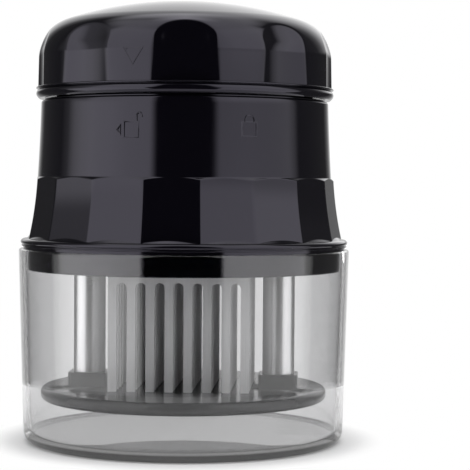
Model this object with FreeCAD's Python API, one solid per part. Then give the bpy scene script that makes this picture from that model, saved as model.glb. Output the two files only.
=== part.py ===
import FreeCAD, Part
import math
import os
from FreeCAD import Vector

# Round hand-pressed blade tenderizer, standing in its own clear cup.
# Millimetres, +Z up. The origin is the centre of the cup's underside, the front is -Y, and the
# posts stand at -X (left) and +X (right). Heights stack up from the cup: rim, housing, neck, cap.
# Radii step inwards from the cup's rim: flange, facets, barrel, neck, and what stands inside them.
# The blades' length and the housing's height follow from the stroke of the press plate.

# --- Clear cup
cup_height = 58.0
cup_rim_radius = 50.0
cup_taper = 1.6
cup_wall = 2.2
cup_floor = 2.6
cup_corner = 3.0
cup_rim_round = 0.7

# --- Housing: skirt that seats in the cup
skirt_depth = 6.4
skirt_gap = 0.4
skirt_wall = 2.4

# --- Housing: base flange, from the cup's rim up
flange_inset = 0.45
flange_rise = 3.0
shadow_height = 0.8
shadow_depth = 0.85
lip_height = 0.4
lip_inset = 0.35
groove_height = 0.3
groove_depth = 0.3
bead_height = 1.4
slope_out = 0.6
slope_in = 0.4
slope_start = 0.1
slope_rise = 1.0

# --- Housing: faceted lower body and round barrel
facet_count = 18
facet_rise = 18.8
facet_foot_inset = 2.55
facet_taper = 2.6
facet_bow = 0.45
ridge_chamfer = 1.2
ridge_reach = 0.2
barrel_swell = 0.05
barrel_taper = 1.07
barrel_bow = 0.1
barrel_edge_round = 0.8
gap_ring_inset = 0.95
gap_ring_clear = 0.2

# --- Housing: wall and neck
housing_wall = 2.6
neck_rise = 7.6
neck_wall = 2.0
neck_shoulder = 4.0
shoulder_slope = 2.0
neck_seat = 1.03

# --- Deck plate, clamped up against a ledge in the housing by the spring plate's screws
deck_thickness = 3.5
deck_inset = 0.8
deck_gap = 0.1
deck_seat = 1.2
tower_radius = 3.6
tower_inset = 5.3
block_boss_radius = 4.0
rib_thickness = 1.6
web_gap = 0.5
pilot_relief = 2.0
pilot_floor = 1.0

# --- Twist lock between neck and cap
lock_turn = 45.0
lock_count = 3
lug_first_angle = 30.0
lug_half_angle = 10.0
lug_height = 2.6
lug_depth = 1.8
lug_root = 0.5
ledge_height = 2.1
ledge_lead = 4.0
ledge_root = 1.0
lock_side_gap = 0.4
lock_rise_gap = 0.3
lock_end_gap = 0.5
stop_angle = 4.5

# --- Cap
cap_gap = 0.6
cap_height = 29.45
cap_overhang = 1.05
cap_rim_flare = 0.5
cap_rim_height = 3.4
cap_side_inset = 0.25
cap_shoulder_height = 12.1
cap_shoulder_round = 12.0
cap_wall = 3.6
cap_roof = 2.2
cap_inner_round = 10.4
cap_bead_foot_inset = 0.8
cap_bead_top_inset = 0.7
cap_bead_middle = 1.4
cap_line_low = 0.6
cap_line_mid = 0.45
cap_line_high = 0.15
flute_count = 9
flute_first_angle = -85.0
flute_depth = 1.5
flute_round = 38.0
flute_climb = 17.0
seal_height = 1.6
seal_inset = 0.1

# --- Blades
comb_rows = 7
comb_prongs = 8
comb_row_pitch = 6.0
comb_thickness = 1.0
prong_pitch = 5.6
prong_width = 2.6
prong_point = 2.4
comb_web = 11.4
comb_seat = 8.0
comb_slot_gap = 0.1
rod_radius = 1.5
rod_spread = 28.0
rod_gap = 0.05

# --- Block that holds the combs
block_disc = 3.0
block_inset = 0.2
block_side_wall = 2.3
block_end_wall = 1.9
block_roof = 1.6
block_edge_gap = 0.3
block_screw_inset = 6.8

# --- Press plate and posts
stroke = 28.0
plate_gap = 3.2
plate_thickness = 3.8
plate_edge_round = 1.6
plate_cover_of_tips = 0.8
plate_stop_space = 4.1
blade_gap = 0.4
boss_wall = 1.0
boss_rise = 4.0
boss_root = 1.0
boss_corner = 1.2
socket_floor = 3.0
socket_gap = 0.05
post_radius = 4.85
post_hole_gap = 0.35
tap_relief = 1.0

# --- Bushes, stops and springs
bush_wall = 1.5
bush_gap = 0.05
bush_flange = 1.4
bush_flange_rise = 1.5
bush_rise = 5.0
washer_height = 1.5
washer_headroom = 3.5
spring_solid = 15.1
spring_wire = 1.2
spring_radius = 4.8
spring_turns = 8
spring_wire_sides = 6
spring_cup_gap = 0.5
spring_cup_wall = 1.3
spring_cup_inset = 0.05
spring_plate_thickness = 2.4
spring_plate_drop = 7.0
spring_plate_gap = 0.5
plate_rib_rise = 3.0
plate_hub_radius = 6.0
screw_seat_margin = 1.0

# --- Screws
screw_radius = 2.0
screw_gap = 0.05
screw_head_radius = 3.6
screw_head_height = 2.4
countersink_depth = 2.2
screw_length = 10.0

# --- Heights that follow
rim_z = cup_height
skirt_z = rim_z - skirt_depth
facet_foot_z = rim_z + flange_rise
facet_top_z = facet_foot_z + facet_rise

prong_length = stroke + plate_thickness - plate_cover_of_tips + plate_stop_space
block_z = skirt_z + block_inset
disc_top_z = block_z + block_disc
comb_top_z = block_z + comb_seat
comb_foot_z = comb_top_z - comb_web
tip_z = comb_foot_z - prong_length
rod_z = (disc_top_z + comb_top_z) / 2
deck_z = comb_top_z + comb_slot_gap + block_roof
deck_top_z = deck_z + deck_thickness

plate_z = tip_z - plate_cover_of_tips
plate_top_z = plate_z + plate_thickness
boss_top_z = plate_top_z + boss_rise
post_z = plate_z + socket_floor
post_top_z = deck_top_z + bush_rise
washer_top_z = post_top_z + washer_height
spring_top_z = washer_top_z + stroke + spring_solid
spring_plate_z = washer_top_z + stroke + washer_headroom
spring_plate_top_z = spring_plate_z + spring_plate_thickness

neck_top_z = spring_plate_z + spring_plate_drop
barrel_top_z = neck_top_z - neck_rise
shoulder_z = barrel_top_z - neck_shoulder
seal_top_z = neck_top_z + seal_height
cap_z = barrel_top_z + cap_gap
cap_rim_top_z = cap_z + cap_rim_height
cap_shoulder_z = cap_z + cap_shoulder_height
cap_top_z = cap_z + cap_height


# --- Radii and places that follow
def cup_outside(z):
    """Outer radius of the cup's drafted wall at a height."""
    return cup_rim_radius - cup_taper * (1 - z / cup_height)


skirt_radius = cup_outside(skirt_z) - cup_wall - skirt_gap
skirt_inside = skirt_radius - skirt_wall
flange_radius = cup_rim_radius - flange_inset
facet_foot_radius = flange_radius - facet_foot_inset
facet_top_radius = facet_foot_radius - facet_taper
barrel_foot_radius = facet_top_radius + barrel_swell
barrel_top_radius = barrel_foot_radius - barrel_taper
barrel_inside = barrel_top_radius - housing_wall
cap_side_radius = barrel_top_radius + cap_overhang
cap_rim_radius = cap_side_radius + cap_rim_flare
cap_inside = cap_side_radius - cap_wall
neck_radius = cap_inside - lug_depth - lock_side_gap
neck_inside = neck_radius - neck_wall
deck_pocket = facet_foot_radius - housing_wall - deck_inset
deck_radius = deck_pocket - deck_gap
tower_circle = neck_inside - tower_inset
block_screw_circle = skirt_inside - block_screw_inset
plate_radius = cup_outside(plate_z) - cup_wall - plate_gap

spring_pocket = spring_radius + spring_wire / 2 + spring_cup_gap
spring_cup_radius = spring_pocket + spring_cup_wall
spring_plate_radius = neck_inside - spring_plate_gap
post_x = spring_plate_radius - spring_cup_radius - spring_cup_inset
bush_bore = post_radius + bush_gap
bush_radius = bush_bore + bush_wall
screw_hole = screw_radius + screw_gap

comb_width = prong_pitch * (comb_prongs - 1) + prong_width
comb_depth = comb_row_pitch * (comb_rows - 1) + comb_thickness
row_places = [(row - (comb_rows - 1) / 2) * comb_row_pitch for row in range(comb_rows)]
prong_places = [(k - (comb_prongs - 1) / 2) * prong_pitch for k in range(comb_prongs)]

LEFT = -1
RIGHT = 1
QUARTERS = (45, 135, 225, 315)
ROUND = 360.0
lug_angles = [lug_first_angle + k * ROUND / lock_count for k in range(lock_count)]


def tube(radius, low, high, x=0.0, y=0.0):
    """Upright cylinder between two heights."""
    return Part.makeCylinder(radius, high - low, Vector(x, y, low))


def ring(outer, inner, low, high):
    """Upright ring about the main axis."""
    return tube(outer, low, high).cut(tube(inner, low, high))


def block(width, depth, low, high, x=0.0, y=0.0):
    """Upright box centred on (x, y)."""
    return Part.makeBox(width, depth, high - low, Vector(x - width / 2, y - depth / 2, low))


def turned(shape, angle):
    """Copy of a shape turned about the main axis."""
    copy = shape.copy()
    copy.rotate(Vector(0, 0, 0), Vector(0, 0, 1), angle)
    return copy


def polar(radius, angle):
    """Point on a circle about the main axis, as x and y."""
    return radius * math.cos(math.radians(angle)), radius * math.sin(math.radians(angle))


def line(start, end):
    """Straight edge between two radius-height points."""
    return Part.LineSegment(Vector(start[0], 0, start[1]), Vector(end[0], 0, end[1])).toShape()


def arc(start, middle, end):
    """Circular edge through three radius-height points."""
    points = [Vector(r, 0, z) for r, z in (start, middle, end)]
    return Part.Arc(*points).toShape()


def bowed(start, end, bow):
    """Shallow arc between two points, whose middle lies nearer the axis by bow."""
    middle = ((start[0] + end[0]) / 2 - bow, (start[1] + end[1]) / 2)
    return arc(start, middle, end)


def path(points):
    """Straight edges through a list of radius-height points."""
    return [line(a, b) for a, b in zip(points, points[1:])]


def revolved(edges):
    """Solid of revolution of a closed radius-height outline."""
    face = Part.Face(Part.Wire(edges))
    return face.revolve(Vector(0, 0, 0), Vector(0, 0, 1), ROUND)


def sector(outer, inner, low, high, start, end):
    """Part of a ring between two angles."""
    outline = path([(inner, low), (outer, low), (outer, high), (inner, high), (inner, low)])
    face = Part.Face(Part.Wire(outline))
    return turned(face.revolve(Vector(0, 0, 0), Vector(0, 0, 1), end - start), start)


def corner_arc(centre, radius, start_angle, end_angle):
    """Start, edge and end of an arc in the radius-height plane, by its angles from outward."""
    def at(angle):
        swing = math.radians(angle)
        return centre[0] + radius * math.cos(swing), centre[1] + radius * math.sin(swing)

    start, middle, end = at(start_angle), at((start_angle + end_angle) / 2), at(end_angle)
    return start, arc(start, middle, end), end


def pan_screw(seat_z, x, y):
    """Pan-head screw that bears on a seat from above, its shank pointing down."""
    head = tube(screw_head_radius, seat_z, seat_z + screw_head_height, x, y)
    return head.fuse(tube(screw_radius, seat_z - screw_length, seat_z, x, y))


def countersink(face_z, x, y):
    """Cone cut into an underside for a flush screw's head."""
    return Part.makeCone(screw_head_radius, screw_hole, countersink_depth, Vector(x, y, face_z))


def flush_screw(face_z, x, y):
    """Countersunk screw, its head flush with an underside and its shank pointing up."""
    head = Part.makeCone(screw_head_radius - screw_gap, screw_radius, countersink_depth,
                         Vector(x, y, face_z))
    return head.fuse(tube(screw_radius, face_z, face_z + screw_length, x, y))


def clear_cover():
    """Moulded cup with a closed floor, a slight draft, a rounded foot and an eased rim."""
    foot_radius = cup_outside(0)
    low, foot, high = corner_arc((foot_radius - cup_corner, cup_corner), cup_corner, -90, 0)
    inner_corner = cup_corner - (cup_wall - cup_rim_round)
    inner_centre = (foot_radius - cup_wall - inner_corner, cup_floor + inner_corner)
    bend_start, bend, bend_end = corner_arc(inner_centre, inner_corner, 0, -90)
    rim_side = (cup_outside(rim_z - cup_rim_round), rim_z - cup_rim_round)
    ease = cup_rim_round / 3
    rim_ease = (rim_side[0] - ease, rim_z - ease)
    rim_top = (cup_rim_radius - cup_rim_round, rim_z)
    rim_inner = (cup_rim_radius - cup_wall, rim_z)
    edges = [line((0, 0), low), foot]
    edges += path([high, rim_side, rim_ease, rim_top, rim_inner, bend_start])
    edges += [bend] + path([bend_end, (0, cup_floor), (0, 0)])
    return revolved(edges)


def facet_core():
    """Many-sided flared lower body: equal bowed slabs, turned about the axis and intersected."""
    reach = 2 * facet_foot_radius
    middle_z = (facet_foot_z + facet_top_z + ridge_chamfer) / 2
    middle = (facet_foot_radius + facet_top_radius) / 2 - facet_bow
    foot = (facet_foot_radius, facet_foot_z)
    top = (facet_top_radius, facet_top_z + ridge_chamfer)
    other_foot = (-foot[0], foot[1])
    other_top = (-top[0], top[1])
    outline = [arc(foot, (middle, middle_z), top), line(top, other_top),
               arc(other_top, (-middle, middle_z), other_foot), line(other_foot, foot)]
    slab = Part.Face(Part.Wire(outline)).extrude(Vector(0, reach, 0))
    slab.translate(Vector(0, -reach / 2, 0))
    step = ROUND / facet_count
    core = turned(slab, 90)
    for k in range(1, facet_count // 2):
        core = core.common(turned(slab, 90 + k * step))
    return core


def lower_body():
    """The facets, their ridges chamfered at the top where they run out into the round barrel."""
    ridge = facet_top_radius / math.cos(math.pi / facet_count) + ridge_reach
    chamfer_z = facet_top_z - ridge_chamfer
    limit = path([(0, facet_foot_z), (flange_radius, facet_foot_z), (flange_radius, chamfer_z),
                  (ridge, chamfer_z), (ridge - ridge_chamfer, facet_top_z), (0, facet_top_z),
                  (0, facet_foot_z)])
    return facet_core().common(revolved(limit))


def barrel():
    """Round upper body, slightly waisted, with an eased top edge."""
    foot = (barrel_foot_radius, facet_top_z - ridge_chamfer)
    edge_centre = (barrel_top_radius - barrel_edge_round, barrel_top_z - barrel_edge_round)
    side_top, edge, edge_end = corner_arc(edge_centre, barrel_edge_round, 0, 90)
    return revolved([line((0, foot[1]), foot), bowed(foot, side_top, barrel_bow), edge]
                    + path([edge_end, (0, barrel_top_z), (0, foot[1])]))


def flange():
    """Base flange over the cup's rim: shadow gap, lip, groove, rounded bead and a slope up."""
    lip = flange_radius - lip_inset
    groove = lip - groove_depth
    shadow_top = rim_z + shadow_height
    lip_top = shadow_top + lip_height
    bead_foot = (lip, lip_top + groove_height)
    bead_end = (groove, bead_foot[1] + bead_height)
    bead_middle = (flange_radius, (bead_foot[1] + bead_end[1]) / 2)
    slope_foot = (facet_foot_radius + slope_out, facet_foot_z + slope_start)
    slope_top = (facet_foot_radius - slope_in, slope_foot[1] + slope_rise)
    shadow = flange_radius - shadow_depth
    below = path([(0, rim_z), (shadow, rim_z), (shadow, shadow_top), (lip, shadow_top), (lip, lip_top),
                  (groove, lip_top), (groove, bead_foot[1]), bead_foot])
    above = path([bead_end, slope_foot, slope_top, (0, slope_top[1]), (0, rim_z)])
    return revolved(below + [arc(bead_foot, bead_middle, bead_end)] + above)


def lock_ledges():
    """Ledges that the cap's lugs turn under, each with a stop at both ends of the turn."""
    outer = cap_inside - lock_side_gap
    inner = neck_inside + ledge_root
    ledge_z = neck_top_z - ledge_height
    stop_z = ledge_z - lug_height - lock_rise_gap
    ledges = []
    for zero in lug_angles:
        near = zero - lug_half_angle - lock_end_gap
        far = zero + lock_turn + lug_half_angle + lock_end_gap
        lead = zero + lug_half_angle + ledge_lead
        ledges.append(sector(outer, inner, ledge_z, neck_top_z, lead, far + stop_angle))
        ledges.append(sector(outer, inner, stop_z, neck_top_z, far, far + stop_angle))
        ledges.append(sector(outer, inner, stop_z, neck_top_z, near - stop_angle, near))
    return ledges


def housing_shell():
    """One black moulding, open through: skirt, flange, facets, barrel, gap ring, neck, ledges."""
    skirt = tube(skirt_radius, skirt_z, rim_z)
    neck = tube(neck_radius, barrel_top_z, neck_top_z)
    gap_ring = tube(barrel_top_radius - gap_ring_inset, barrel_top_z, cap_z - gap_ring_clear)
    solid = skirt.fuse([flange(), lower_body(), barrel(), neck, gap_ring])

    bay = path([(0, skirt_z), (skirt_inside, skirt_z), (skirt_inside, rim_z),
                (deck_pocket, facet_foot_z), (deck_pocket, deck_top_z), (0, deck_top_z),
                (0, skirt_z)])
    seat = neck_inside - neck_seat
    hall = path([(0, deck_top_z), (deck_pocket - deck_seat, deck_top_z),
                 (facet_top_radius - housing_wall, facet_top_z), (barrel_inside, shoulder_z),
                 (seat, shoulder_z + shoulder_slope), (seat, spring_plate_z),
                 (neck_inside, spring_plate_z), (neck_inside, neck_top_z), (0, neck_top_z),
                 (0, deck_top_z)])
    return solid.cut([revolved(bay), revolved(hall)]).fuse(lock_ledges()).removeSplitter()


def deck_plate():
    """Deck for the guide bushes, with bosses under it for the block and webbed towers above."""
    deck = tube(deck_radius, deck_z, deck_top_z)
    reach = barrel_inside - web_gap - tower_circle
    raised = []
    holes = [tube(bush_radius, deck_z, deck_top_z, side * post_x) for side in (LEFT, RIGHT)]
    for angle in QUARTERS:
        tower = polar(tower_circle, angle)
        boss = polar(block_screw_circle, angle)
        web = block(reach, rib_thickness, deck_top_z, shoulder_z, tower_circle + reach / 2)
        raised.append(turned(web, angle))
        raised.append(tube(tower_radius, deck_top_z, spring_plate_z, *tower))
        raised.append(tube(block_boss_radius, disc_top_z, deck_z, *boss))
        pilot_z = spring_plate_z - screw_length - pilot_relief
        holes.append(tube(screw_hole, pilot_z, spring_plate_z, *tower))
        holes.append(tube(screw_hole, disc_top_z, deck_top_z - pilot_floor, *boss))
    return deck.fuse(raised).cut(holes).removeSplitter()


def flute_cutters():
    """Round bars that hollow the grip flutes: up the side, over the shoulder, with a round end."""
    axis_reach = cap_shoulder_round - flute_depth + flute_round
    shoulder = Vector(cap_side_radius - cap_shoulder_round, 0, cap_shoulder_z)
    centre = Vector(shoulder.x + axis_reach, 0, cap_shoulder_z)
    foot = Vector(centre.x, 0, cap_rim_top_z)
    upright = Part.makeCylinder(flute_round, cap_shoulder_z - cap_rim_top_z, foot)
    disc = Part.Face(Part.Wire(Part.makeCircle(flute_round, centre)))
    bend = disc.revolve(shoulder, Vector(0, -1, 0), flute_climb)
    climb = math.radians(flute_climb)
    end = shoulder + Vector(math.cos(climb), 0, math.sin(climb)) * axis_reach
    bar = [upright, bend, Part.makeSphere(flute_round, end)]
    step = ROUND / flute_count
    return [turned(piece, flute_first_angle + k * step)
            for k in range(flute_count) for piece in bar]


def dome(side_radius, shoulder_round, crown_z):
    """Edges from the side, round the shoulder and over the crown to the axis: two tangent arcs."""
    out = side_radius - shoulder_round
    rise = crown_z - shoulder_round - cap_shoulder_z
    crown_radius = shoulder_round + (out ** 2 + rise ** 2) / (2 * rise)
    crown_centre = crown_z - crown_radius
    lean = math.degrees(math.atan2(cap_shoulder_z - crown_centre, out))
    shoulder = corner_arc((out, cap_shoulder_z), shoulder_round, 0, lean)
    crown = corner_arc((0, crown_centre), crown_radius, lean, 90)
    return [shoulder[1], crown[1]]


def cap_outside():
    """Solid dome with its grip flutes, a fine line round the foot and a rounded rim bead."""
    side_foot = (cap_rim_radius - cap_side_inset, cap_rim_top_z)
    side_top = (cap_side_radius, cap_shoulder_z)
    body = revolved([line((0, cap_rim_top_z), side_foot), line(side_foot, side_top)]
                    + dome(cap_side_radius, cap_shoulder_round, cap_top_z)
                    + [line((0, cap_top_z), (0, cap_rim_top_z))])
    bead_foot = (cap_rim_radius - cap_bead_foot_inset, cap_z)
    bead_middle = (cap_rim_radius, cap_z + cap_bead_middle)
    bead_top = (cap_rim_radius - cap_bead_top_inset, cap_rim_top_z - cap_line_low)
    rim = revolved([line((0, cap_z), bead_foot), arc(bead_foot, bead_middle, bead_top)]
                   + path([bead_top, (cap_rim_radius, cap_rim_top_z - cap_line_mid),
                           (cap_rim_radius, cap_rim_top_z - cap_line_high), side_foot,
                           (0, cap_rim_top_z), (0, cap_z)]))
    return body.cut(flute_cutters()).fuse(rim)


def cap_shell():
    """Domed cap: open below, with lugs for the twist lock and a rib that bears on the seal."""
    outside = cap_outside()
    roof_z = cap_top_z - cap_roof
    cavity = revolved(path([(0, cap_z), (cap_inside, cap_z), (cap_inside, cap_shoulder_z)])
                      + dome(cap_inside, cap_inner_round, roof_z)
                      + [line((0, roof_z), (0, cap_z))])
    rib = ring(neck_radius - seal_inset, neck_inside + seal_inset, seal_top_z, cap_top_z)
    lug_top = neck_top_z - ledge_height - lock_rise_gap
    lugs = [sector(cap_inside + lug_root, neck_radius + lock_side_gap, lug_top - lug_height, lug_top,
                   zero - lug_half_angle, zero + lug_half_angle) for zero in lug_angles]
    return outside.cut(cavity).fuse([rib.common(outside)] + lugs).removeSplitter()


def cap_seal():
    """Soft flat ring on the neck's top edge, under the cap's rib."""
    return ring(neck_radius - seal_inset, neck_inside + seal_inset, neck_top_z, seal_top_z)


def comb(y):
    """Stamped comb: a web with two rod holes, and pointed prongs with round-ended slots between."""
    side = comb_width / 2
    shoulder = tip_z + prong_point
    slot_round = (prong_pitch - prong_width) / 2
    spring_line = comb_foot_z - slot_round

    def spot(x, z):
        return Vector(x, y - comb_thickness / 2, z)

    def straight(start, end):
        return Part.LineSegment(spot(*start), spot(*end)).toShape()

    edges = [straight((side, comb_top_z), (-side, comb_top_z)),
             straight((-side, comb_top_z), (-side, shoulder))]
    for x in prong_places:
        near, far = x - prong_width / 2, x + prong_width / 2
        edges.append(straight((near, shoulder), (x, tip_z)))
        edges.append(straight((x, tip_z), (far, shoulder)))
    for x in prong_places[:-1]:
        near, far = x + prong_width / 2, x + prong_pitch - prong_width / 2
        edges.append(straight((near, shoulder), (near, spring_line)))
        crown = spot((near + far) / 2, comb_foot_z)
        edges.append(Part.Arc(spot(near, spring_line), crown, spot(far, spring_line)).toShape())
        edges.append(straight((far, spring_line), (far, shoulder)))
    edges.append(straight((side, shoulder), (side, comb_top_z)))
    outline = Part.Wire(Part.__sortEdges__(edges))
    sheet = Part.Face(outline).extrude(Vector(0, comb_thickness, 0))
    return sheet.cut([rod(side, rod_radius + rod_gap) for side in (LEFT, RIGHT)])


def rod(side, radius):
    """Cross rod through all the combs, along Y."""
    length = comb_depth + 2 * block_side_wall
    start = Vector(side * rod_spread / 2, -length / 2, rod_z)
    return Part.makeCylinder(radius, length, start, Vector(0, 1, 0))


def blade_base():
    """Moulded disc with a raised block; the combs hang in its slots, the posts pass through it."""
    disc = tube(skirt_inside - block_edge_gap, block_z, disc_top_z)
    core = block(comb_width + 2 * block_end_wall, comb_depth + 2 * block_side_wall, block_z, deck_z)
    slot_width = comb_width + 2 * comb_slot_gap
    slot_depth = comb_thickness + 2 * comb_slot_gap
    cuts = [block(slot_width, slot_depth, block_z, comb_top_z + comb_slot_gap, 0, y)
            for y in row_places]
    for side in (LEFT, RIGHT):
        cuts.append(tube(post_radius + post_hole_gap, block_z, disc_top_z, side * post_x))
        cuts.append(rod(side, rod_radius + rod_gap))
    for angle in QUARTERS:
        spot = polar(block_screw_circle, angle)
        cuts += [tube(screw_hole, block_z, disc_top_z, *spot), countersink(block_z, *spot)]
    return disc.fuse(core).cut(cuts)


def blade_base_screws():
    """Four flush screws from below, through the disc into the deck's bosses."""
    spots = [polar(block_screw_circle, angle) for angle in QUARTERS]
    return Part.makeCompound([flush_screw(block_z, x, y) for x, y in spots])


def press_plate():
    """Round plate with a slot for every prong and a square boss with a socket for each post."""
    plate = tube(plate_radius, plate_z, plate_top_z)
    rims = [edge for edge in plate.Edges if edge.Curve.TypeId == "Part::GeomCircle"]
    plate = plate.makeFillet(plate_edge_round, rims)
    boss_side = 2 * (post_radius + socket_gap + boss_wall)
    bosses = []
    cuts = []
    for side in (LEFT, RIGHT):
        boss = block(boss_side, boss_side, plate_z + boss_root, boss_top_z, side * post_x)
        upright = [edge for edge in boss.Edges if abs(edge.tangentAt(edge.FirstParameter).z) > 0.5]
        bosses.append(boss.makeFillet(boss_corner, upright))
        cuts.append(tube(post_radius + socket_gap, post_z, boss_top_z, side * post_x))
        cuts.append(tube(screw_hole, plate_z, post_z, side * post_x))
        cuts.append(countersink(plate_z, side * post_x, 0))
    slot_width = prong_width + 2 * blade_gap
    slot_depth = comb_thickness + 2 * blade_gap
    cuts += [block(slot_width, slot_depth, plate_z, plate_top_z, x, y)
             for y in row_places for x in prong_places]
    return plate.fuse(bosses).cut(cuts)


def post(side):
    """Ground steel post with a tapped hole at each end."""
    x = side * post_x
    bar = tube(post_radius, post_z, post_top_z, x)
    depth = screw_length + tap_relief
    return bar.cut([tube(screw_hole, post_z, post_z + depth, x),
                    tube(screw_hole, post_top_z - depth, post_top_z, x)])


def plate_screws():
    """Two flush screws from under the plate into the posts."""
    return Part.makeCompound([flush_screw(plate_z, side * post_x, 0) for side in (LEFT, RIGHT)])


def post_washer(side):
    """Washer on the post's top end, which stops on the bush."""
    x = side * post_x
    washer = tube(bush_radius, post_top_z, washer_top_z, x)
    return washer.cut(tube(screw_hole, post_top_z, washer_top_z, x))


def post_screws():
    """One screw down through each washer into the post."""
    return Part.makeCompound([pan_screw(washer_top_z, side * post_x, 0) for side in (LEFT, RIGHT)])


def guide_bush(side):
    """Flanged bush in the deck; the post runs in it."""
    x = side * post_x
    sleeve = tube(bush_radius, deck_z, post_top_z, x)
    collar = tube(bush_radius + bush_flange, deck_top_z, deck_top_z + bush_flange_rise, x)
    return sleeve.fuse(collar).cut(tube(bush_bore, deck_z, post_top_z, x))


def spring(side):
    """Coil spring of six-sided wire with ground ends, from the post's washer to its cup's roof."""
    rise = spring_top_z - washer_top_z
    helix = Part.makeHelix(rise / spring_turns, rise, spring_radius)
    corners = [polar(spring_wire / 2, k * ROUND / spring_wire_sides)
               for k in range(spring_wire_sides + 1)]
    section = Part.makePolygon([Vector(spring_radius + dr, 0, dz) for dr, dz in corners])
    coil = Part.Wire(helix.Edges).makePipeShell([section], True, True)
    coil.translate(Vector(side * post_x, 0, washer_top_z))
    return coil.common(tube(2 * spring_radius, washer_top_z, spring_top_z, side * post_x))


def spring_plate():
    """Moulded plate seated in the neck, with a cup over each spring and ribs to its screws."""
    rib_top = spring_plate_top_z + plate_rib_rise
    plate = tube(spring_plate_radius, spring_plate_z, spring_plate_top_z)
    raised = [tube(plate_hub_radius, spring_plate_z, rib_top)]
    cuts = []
    for side in (LEFT, RIGHT):
        cup_top = spring_top_z + spring_cup_wall
        raised.append(tube(spring_cup_radius, spring_plate_z, cup_top, side * post_x))
        cuts.append(tube(spring_pocket, spring_plate_z, spring_top_z, side * post_x))
    reach = tower_circle - screw_head_radius - screw_seat_margin
    for angle in QUARTERS:
        rib = block(reach, rib_thickness, spring_plate_z, rib_top, reach / 2)
        raised.append(turned(rib, angle))
        cuts.append(tube(screw_hole, spring_plate_z, spring_plate_top_z, *polar(tower_circle, angle)))
    return plate.fuse(raised).cut(cuts)


def spring_plate_screws():
    """Four screws down through the spring plate into the deck's towers."""
    spots = [polar(tower_circle, angle) for angle in QUARTERS]
    return Part.makeCompound([pan_screw(spring_plate_top_z, x, y) for x, y in spots])


parts = {
    "clear_cover": clear_cover(),
    "housing_shell": housing_shell(),
    "deck_plate": deck_plate(),
    "cap_shell": cap_shell(),
    "cap_seal": cap_seal(),
    "blade_base": blade_base(),
    "blade_base_screws": blade_base_screws(),
    "press_plate": press_plate(),
    "plate_screws": plate_screws(),
    "post_screws": post_screws(),
    "spring_plate": spring_plate(),
    "spring_plate_screws": spring_plate_screws(),
}
for number, y in enumerate(row_places, 1):
    parts[f"comb_{number}"] = comb(y)
for name, side in (("left", LEFT), ("right", RIGHT)):
    parts[f"comb_rod_{name}"] = rod(side, rod_radius)
    parts[f"post_{name}"] = post(side)
    parts[f"post_washer_{name}"] = post_washer(side)
    parts[f"guide_bush_{name}"] = guide_bush(side)
    parts[f"spring_{name}"] = spring(side)

os.makedirs("parts", exist_ok=True)
for name, shape in parts.items():
    shape.exportStep(f"parts/{name}.step")
    print(f"{name}: {len(shape.Solids)} solid(s), {shape.Volume:.1f} mm3, valid {shape.isValid()}")
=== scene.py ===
import math

import bmesh
import bpy
import numpy as np
from mathutils import Matrix


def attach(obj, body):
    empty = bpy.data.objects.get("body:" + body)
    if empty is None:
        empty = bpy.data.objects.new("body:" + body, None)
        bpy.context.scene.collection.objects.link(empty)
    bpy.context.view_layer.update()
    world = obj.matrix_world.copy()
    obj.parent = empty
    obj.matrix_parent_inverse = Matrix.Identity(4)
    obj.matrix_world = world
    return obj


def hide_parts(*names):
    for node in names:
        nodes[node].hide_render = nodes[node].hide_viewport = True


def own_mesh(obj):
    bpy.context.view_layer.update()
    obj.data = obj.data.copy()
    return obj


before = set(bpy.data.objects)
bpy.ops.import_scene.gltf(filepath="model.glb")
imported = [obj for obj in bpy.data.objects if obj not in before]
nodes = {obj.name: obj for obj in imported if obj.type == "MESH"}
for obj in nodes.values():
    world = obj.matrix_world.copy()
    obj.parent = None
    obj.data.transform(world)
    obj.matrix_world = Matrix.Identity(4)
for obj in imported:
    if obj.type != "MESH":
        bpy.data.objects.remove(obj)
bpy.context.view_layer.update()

scene = bpy.context.scene

# --- Table top and studio
# A round white table top fades into a white room. The room itself is the only light: bright left,
# right and above, and dark in front of the tool, so that the black mouldings show bands.
FRONT_AZIMUTH = 5.0
ROOM_PEAK = 3.0
TABLE_RADIUS = 0.15
TABLE_CORNERS = 96
FADE_RADIUS = 0.064
# Painted light under the cup's floor, painted shade deepening the shadow round its foot, then the
# fade to white.
WHITE_FADE_AND_PAINTED_LIGHT_STOPS = ((0.0, 0.36), (0.66, 0.33), (0.74, 0.08), (0.78, 0.22), (0.96, 1.0))


def wire(tree, source, target):
    """Links an output socket to an input socket."""
    tree.links.new(source, target)


def maths(tree, operation, *values):
    """Math node; each value is a socket or a number."""
    node = tree.nodes.new("ShaderNodeMath")
    node.operation = operation
    for place, value in enumerate(values):
        if isinstance(value, bpy.types.NodeSocket):
            wire(tree, value, node.inputs[place])
        else:
            node.inputs[place].default_value = value
    return node.outputs[0]


def steps(tree, factor, stops, interpolation="EASE"):
    """Colour ramp from (place, colour) stops."""
    node = tree.nodes.new("ShaderNodeValToRGB")
    node.color_ramp.interpolation = interpolation
    elements = node.color_ramp.elements
    while len(elements) < len(stops):
        elements.new(0.5)
    for element, (place, colour) in zip(elements, stops):
        element.position = place
        element.color = (*colour, 1.0)
    wire(tree, factor, node.inputs["Fac"])
    return node.outputs["Color"]


def place_in_turn(degrees):
    """Position on the room's ramp of an azimuth counted from the camera, right positive."""
    return (degrees + 180.0) / 360.0


def ramp_stops(pairs):
    """Ramp stops from (azimuth, radiance) pairs: neutral grey over the room's peak."""
    return [(place_in_turn(turn), (strength / ROOM_PEAK,) * 3) for turn, strength in pairs]


def straight_ray(tree):
    """1 for a ray that has met no glossy or matt surface since the camera, 0 for any other."""
    path = tree.nodes.new("ShaderNodeLightPath")
    bounced = maths(tree, "ADD", path.outputs["Glossy Depth"], path.outputs["Diffuse Depth"])
    return maths(tree, "LESS_THAN", bounced, 0.5)


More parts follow.
